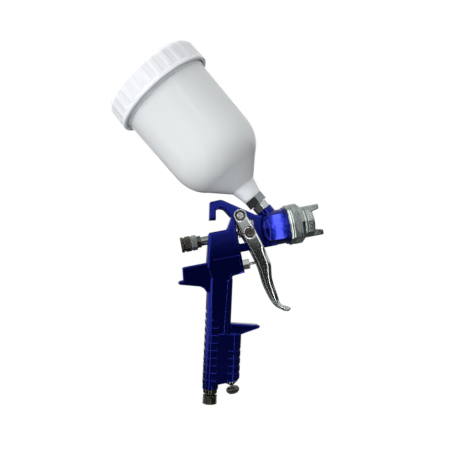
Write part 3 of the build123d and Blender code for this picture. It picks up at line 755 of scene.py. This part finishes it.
locknut = turned(
    "hex_fluid_locknut",
    on_barrel("fluid_locknut"),
    BARREL_WAY,
    rounded([(0, 3.0), (0, 5.6), (0.5, 6.1), (3.4, 6.1), (3.9, 5.6), (3.9, 3.0)], 0.2, step=0.5),
    180,
    hexagon(5.4, 0, 3.9),
)
stand_for(locknut, "dark_nickel", "fluid_locknut")

# %% [markdown]
# The spray width knob and the air regulator knob are small turned thumb knobs with straight
# knurling. The first stands out of the gun's left side, the second hangs under the grip.

# %% Thumb knobs
fan_point = middle("fan_knob") * (1, 0, 1)
fan_knob = turned(
    "knurled_fan_knob",
    fan_point,
    (0, 1, 0),
    rounded(
        [
            (15.4, 1.75), (15.4, 5.4), (16.6, 5.4), (17.4, 7.4), (18.0, 8.0), (25.4, 8.0),
            (26.4, 7.0), (26.4, 2.25), (24.0, 2.25), (24.0, 1.75),
        ],
        0.3,
        step=0.5,
    ),
    256,
    knurl([(18.1, 25.3)], 32, 0.4, 7.6),
)  # fmt: skip
stand_for(fan_knob, "dark_nickel", "fan_knob")

regulator_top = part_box("regulator_knob")[1].z
regulator_point = np.array([*middle("regulator_knob")[:2], regulator_top])
edge_turn = np.linspace(-0.95, 1.0, 11)
edge_profile = np.stack([2.9 + 2.9 * np.sin(edge_turn), 4.4 + 1.7 * np.cos(edge_turn * 1.35)], 1)
regulator_knob = turned(
    "knurled_regulator_knob",
    regulator_point,
    (0, 0, -1),
    rounded(
        [
            (0, 1.55), (0, 4.0), *edge_profile.tolist(), (6.0, 4.2), (6.0, 0), (4.3, 0),
            (4.3, 1.55),
        ],
        0.2,
        step=0.4,
    ),
    224,
    knurl([(0.6, 5.4)], 26, 0.5, 4.6),
)
stand_for(regulator_knob, "dark_nickel", "regulator_knob")

# %% [markdown]
# The hose nipple carries a G 1/4 pipe thread: 19 threads to the inch, so one turn every 1.337 mm,
# and 0.86 mm deep. A V-shaped relief that climbs one pitch in each turn draws a true helix.

# %% Hose nipple
THREAD_PITCH, THREAD_DEPTH = 25.4 / 19, 0.86
nipple = turned(
    "threaded_hose_nipple",
    np.zeros(3),
    GRIP_UP,
    rounded(
        [
            (0, 3.4), (0, 6.2), (0.5, 6.58), (7.7, 6.58), (8.3, 4.1), (9.4, 4.1), (9.4, 5.8),
            (9.9, 6.4), (12.7, 6.4), (12.7, 5.4), (30, 5.4), (30, 3.4),
        ],
        0.25,
        step=0.22,
    ),
    160,
    thread(THREAD_PITCH, THREAD_DEPTH, 0.7, 7.6, 6.1),
)  # fmt: skip
stand_for(nipple, "dark_nickel", "air_inlet_connector")

# %% [markdown]
# The cup screws on to a plated nipple whose outside has six flats for a spanner.

# %% Cup nipple
cup_foot = CUP_POINT - CUP_UP * (CUP_POINT[2] - BARREL_Z) / CUP_UP[2]
cup_nipple = turned(
    "hex_cup_nipple",
    cup_foot,
    CUP_UP,
    rounded(
        [
            (14, 3.5), (14, 6), (21.5, 6), (21.5, 7.3), (22.0, 7.7), (27.8, 7.7), (28.3, 7.2),
            (28.3, 5.5), (36, 5.5), (36, 3.5),
        ],
        0.25,
        step=0.4,
    ),
    180,
    hexagon(6.9, 21.5, 28.3),
)  # fmt: skip
stand_for(cup_nipple, "bright_chrome", "cup_nipple")

# %% [markdown]
# The cup is blow-moulded with a slightly thicker rim, and the rim carries a coarse thread under
# the lid. The lid's skirt has a bead at its foot and flat raised ribs for the fingers, one about
# every 12 mm. Both are turned profiles. The ribs are a relief that is full over a third of each
# pitch and falls off softly, as a moulded rib does.

# %% Cup and lid
LID_RIBS, RIB_HEIGHT = 26, 0.6
RIBS_FROM, RIBS_TO = 167.6, 185.4


def arc(start, through, end, count):
    """Points of the parabola-like curve from start by through to end, with the ends included."""
    u = np.linspace(0, 1, count)[:, None]
    start, through, end = (np.array(p, float) for p in (start, through, end))
    control = 2 * through - (start + end) / 2
    return ((1 - u) ** 2 * start + 2 * u * (1 - u) * control + u**2 * end).tolist()


cup = turned(
    "moulded_paint_cup",
    cup_foot,
    CUP_UP,
    rounded(
        [
            (36.5, 6.6), (36.5, 9.2), (44, 10.8), (51, 12.6),
            *arc((67.7, 29.5), (79.6, 39.3), (96, 43.4), 14),
            (162, 44.4), (162.6, 45.4), (182, 45.4), (182, 43.0), (160, 42.6),
            *arc((96.5, 41.6), (80.8, 37.7), (69.3, 28.3), 14),
            (52.3, 10.9), (46.6, 9.0), (46, 6.6),
        ],
        0.8,
        step=1.5,
    ),
    192,
    thread(6.0, -0.8, 165.5, 180, 45.2),
)  # fmt: skip
stand_for(cup, "cup", "paint_cup")


def grip_ribs(s, t, r):
    """Finger ribs from above the bead to the shoulder: a third of each pitch, soft flanks."""
    off = np.abs((t * LID_RIBS / (2 * pi)) % 1 - 0.5)
    rib = np.clip((0.30 - off) / 0.16, 0, 1)
    rib = rib * rib * (3 - 2 * rib)
    fade = np.clip((s - RIBS_FROM) / 0.8, 0, 1) * np.clip((RIBS_TO - s) / 2.0, 0, 1) * (r > 47.0)
    return RIB_HEIGHT * rib * fade


lid = turned(
    "ribbed_cup_lid",
    cup_foot,
    CUP_UP,
    rounded(
        [
            (164, 46.6), (164, 49.5), (164.6, 49.9), (167.0, 49.8), (168.2, 49.1),
            *arc((183.4, 48.5), (186.2, 47.4), (187, 44.9), 7),
            (187, 41.0), (185, 38.6), (185, 2.0), (183.2, 2.0), (183.2, 46.6),
        ],
        0.6,
        step=1.6,
    ),
    LID_RIBS * 20,
    grip_ribs,
)  # fmt: skip
stand_for(lid, "lid", "cup_lid")


# %% [markdown]
# A coil spring is a round wire carried along a helix. The grid runs along the wire one way and
# round it the other, and the wire's radius shrinks to nothing at both ends, which closes it.

# %% Coil springs
WIRE = 0.5 * MM
STEPS_PER_TURN, STEPS_ROUND_WIRE = 28, 10
NEEDLE_PER_PULL, VALVE_PER_PULL = 0.0178, 0.048  # metres for each radian of trigger


def coil(name, node, turns):
    """A spring in a CAD tube's box. The helix's middle radius is the tube's less the wire's."""
    low, high = (np.array(corner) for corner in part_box(node))
    radius = (high[2] - low[2]) / 2 - WIRE
    along = np.linspace(0, 1, turns * STEPS_PER_TURN + 1)[:, None, None]
    round_wire = np.linspace(0, 2 * pi, STEPS_ROUND_WIRE, endpoint=False)[None, :, None]
    turn = 2 * pi * turns * along
    centre = np.array([0, middle(node)[1], middle(node)[2]])
    x = low[0] + WIRE + along * (high[0] - low[0] - 2 * WIRE)
    out = np.concatenate([0 * turn, np.cos(turn), np.sin(turn)], 2)
    taper = WIRE * np.sqrt(np.clip(1 - (2 * along - 1) ** 60, 0, 1))
    line = centre + np.concatenate([x, 0 * x, 0 * x], 2) + radius * out
    tube = np.cos(round_wire) * out + np.sin(round_wire) * np.array([1.0, 0, 0])
    return skin(name, line + taper * tube, wrap_rows=False)


needle_coil = coil("needle_coil_spring", "needle_spring", 11)
stand_for(needle_coil, "spring_wire", "needle_spring")
valve_coil = coil("valve_coil_spring", "air_valve_spring", 9)
stand_for(valve_coil, "spring_wire", "air_valve_spring")
for spring, node, follower in (
    (needle_coil, "needle_spring", NEEDLE_PER_PULL),
    (valve_coil, "air_valve_spring", VALVE_PER_PULL),
):
    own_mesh(spring)

# %% [markdown]
# The strainer stands in the cup's outlet. Its cone is a woven mesh, drawn as a raised net of
# threads about 1.5 mm apart, coarser than the real 0.2 mm so that it shows.

# %% Strainer
NET, NET_WAVES, NET_HEIGHT = 1.5, 36, 0.22
NET_FROM, NET_TO = 51, 75


def net(s, t, r):
    """Crossing threads: the higher of cos(waves t)^8 round it and cos(pi s / net)^8 along it."""
    around = np.cos(NET_WAVES * t) ** 8
    along = np.cos(pi * s / NET) ** 8
    return NET_HEIGHT * (np.maximum(around, along) - 1) * (s > NET_FROM) * (s < NET_TO)


strainer = turned(
    "net_cup_strainer",
    cup_foot,
    CUP_UP,
    rounded(
        [
            (47.2, 6.0), (47.2, 8.2), (49.4, 8.9), (50.2, 8.2), (76.0, 3.4), (76.0, 0), (75.2, 0),
            (75.2, 2.7), (49.6, 7.3), (49.2, 6.0),
        ],
        0.2,
        step=0.3,
    ),
    288,
    net,
)  # fmt: skip
stand_for(strainer, "nylon", "cup_filter")

# %% [markdown]
# The trigger turns on a pin held by two cross-slotted pan head screws. The cross pin that pulls
# the needle shows lower down as a dark disc with a sunk middle, and the air valve's nut has six
# flats. A recess in an end face can't be a change of radius, so it sinks points along the axis.

# %% Screws, cross pin ends and valve nut
CROSS_HALF, CROSS_REACH, CROSS_DEPTH, CROSS_TURN = 0.48, 2.3, 0.8, radians(20)
SCREW_TOP = 9.9
YOKE_X, VALVE_BORE, NUT_BACK = -1.3, 5.5, -13.0


def cross(s, t, r):
    """A cross recess: full depth where either of |r cos|, |r sin| of the turned angle is small."""
    arms = np.minimum(np.abs(r * np.cos(t + CROSS_TURN)), np.abs(r * np.sin(t + CROSS_TURN)))
    return CROSS_DEPTH * (s > SCREW_TOP - 0.05) * (arms < CROSS_HALF) * (r < CROSS_REACH)


screw_profile = rounded(
    [
        (5, 0), (5, 1.5), (8.8, 1.5), (8.8, 2.7), (8.9, 3.3), (9.4, 3.3), (SCREW_TOP, 2.8),
        (SCREW_TOP, 0),
    ],
    0.15,
    step=0.15,
)
screw_profile = onto_axis(screw_profile, near=0.02)
pivot_screws = joined(
    "cross_slotted_pivot_screws",
    [
        turned("pivot_screw", PIVOT * (1, 0, 1), (0, way, 0), screw_profile, 112, sink=cross)
        for way in (1, -1)
    ],
)
stand_for(pivot_screws, "screw_steel", "trigger_pivot_screws")

pin_profile = rounded(
    [(9.0, 0), (9.0, 4.3), (9.4, 4.3), (9.65, 4.0), (9.65, 2.9), (9.34, 2.3), (9.34, 0)],
    0.12,
    step=0.4,
)
pin_profile = onto_axis(pin_profile, near=0.02)
pin_ends = joined(
    "dished_cross_pin_ends",
    [turned("cross_pin_end", PIN, (0, way, 0), pin_profile, 96) for way in (1, -1)],
)
pin_ends.data.materials.append(finishes["dark_nickel"])
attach(pin_ends, body_of["needle_yoke"])

valve_point = np.array([PIN[0] - YOKE_X * MM, 0, middle("air_valve_body")[2]])
valve_nut = turned(
    "hex_air_valve_nut",
    valve_point,
    BARREL_WAY,
    rounded(
        [
            (-28, 3.2), (-28, VALVE_BORE), (NUT_BACK, VALVE_BORE), (NUT_BACK, 5.1), (-7.0, 5.1),
            (-6.3, 4.4), (-6.3, 1.4), (-9, 1.4), (-9, 2.6), (-14, 2.6), (-14, 1.4), (-16, 1.4),
            (-16, 3.2),
        ],
        0.15,
        step=0.5,
    ),
    144,
    hexagon(4.5, NUT_BACK, -6.3),
)  # fmt: skip
stand_for(valve_nut, "bright_chrome", "air_valve_body")

# %% [markdown]
# The trigger is a zinc casting that was ground and polished before it was plated, so none of its
# edges are sharp and the finger blade is rounded in front. Its outline is too free for a turned or
# swept grid. A copy of the CAD trigger is remeshed in small cubes, its front corners are then
# drawn in along a quarter circle, and a few smoothing passes leave the soft edges of polishing.

# %% Trigger
VOXEL, POLISH_PASSES = 0.42, 14
BLADE_ROUND, ROUND_START, ROUND_END = 3.2, -14.0, -30.0
FRONT_BIN, FRONT_SMOOTH = 0.5, 15


def baked(piece):
    """Applies a piece's modifiers by giving it the mesh that they make."""
    seen_piece = piece.evaluated_get(bpy.context.evaluated_depsgraph_get())
    piece_mesh = bpy.data.meshes.new_from_object(seen_piece)
    piece.modifiers.clear()
    piece.data = piece_mesh
    return piece_mesh


def round_front(points):
    """Draws the finger blade's sides in towards its front edge.

    Depth in is how far a point lies behind the front edge at its height. The half width is at
    most reach - round + sqrt(round^2 - (round - depth)^2), faded in below the strap.
    """
    height = (points[:, 2] - BARREL_Z) / MM
    bins = np.round(height / FRONT_BIN).astype(int)
    bins = bins - bins.min()
    front = np.full(bins.max() + 1, -1.0)
    np.maximum.at(front, bins, points[:, 0])
    half_window = FRONT_SMOOTH // 2
    box = np.ones(FRONT_SMOOTH) / FRONT_SMOOTH
    front = np.convolve(np.pad(front, half_window, mode="edge"), box)
    front = front[2 * half_window : -2 * half_window]
    depth_in = (front[bins] - points[:, 0]) / MM
    inward = np.clip(BLADE_ROUND - depth_in, 0, BLADE_ROUND)
    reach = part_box("trigger")[1].y / MM
    limit = reach - BLADE_ROUND + np.sqrt(BLADE_ROUND**2 - inward**2)
    share = np.clip((ROUND_START - height) / (ROUND_START - ROUND_END), 0, 1)
    share = share * share * (3 - 2 * share)
    return points * np.stack([share * 0 + 1, 1 - share * (1 - limit / reach), share * 0 + 1], 1)


trigger = bpy.data.objects.new("polished_trigger", frame["nodes"]["trigger"].data.copy())
bpy.context.scene.collection.objects.link(trigger)
weld(trigger.data)
remesh = trigger.modifiers.new("cubes", "REMESH")
remesh.mode = "VOXEL"
remesh.voxel_size = VOXEL * MM
trigger_mesh = baked(trigger)
points = np.empty(len(trigger_mesh.vertices) * 3, np.float32)
trigger_mesh.vertices.foreach_get("co", points)
points = round_front(points.reshape(-1, 3).astype(float))
trigger_mesh.vertices.foreach_set("co", points.astype(np.float32).ravel())
polish = trigger.modifiers.new("polish", "SMOOTH")
polish.factor = 0.5
polish.iterations = POLISH_PASSES
trigger_mesh = baked(trigger)
trigger_mesh.name = "polished_trigger"
trigger_mesh.materials.clear()
trigger_mesh.shade_smooth()
stand_for(trigger, "trigger_chrome", "trigger")

# The recesses round the screws are given the dark nickel finish as painted shade, standing in for the shadow in
# the dish.
RECESS_RADIUS, RECESS_OUT = 4.75, 9.3
centres = face_centres(trigger)
from_pivot = np.linalg.norm((centres - PIVOT)[:, [0, 2]], axis=1) / MM
painted_shade_in_recess = (from_pivot < RECESS_RADIUS) & (np.abs(centres[:, 1]) < RECESS_OUT * MM)
paint_faces(trigger, "dark_nickel", painted_shade_in_recess)
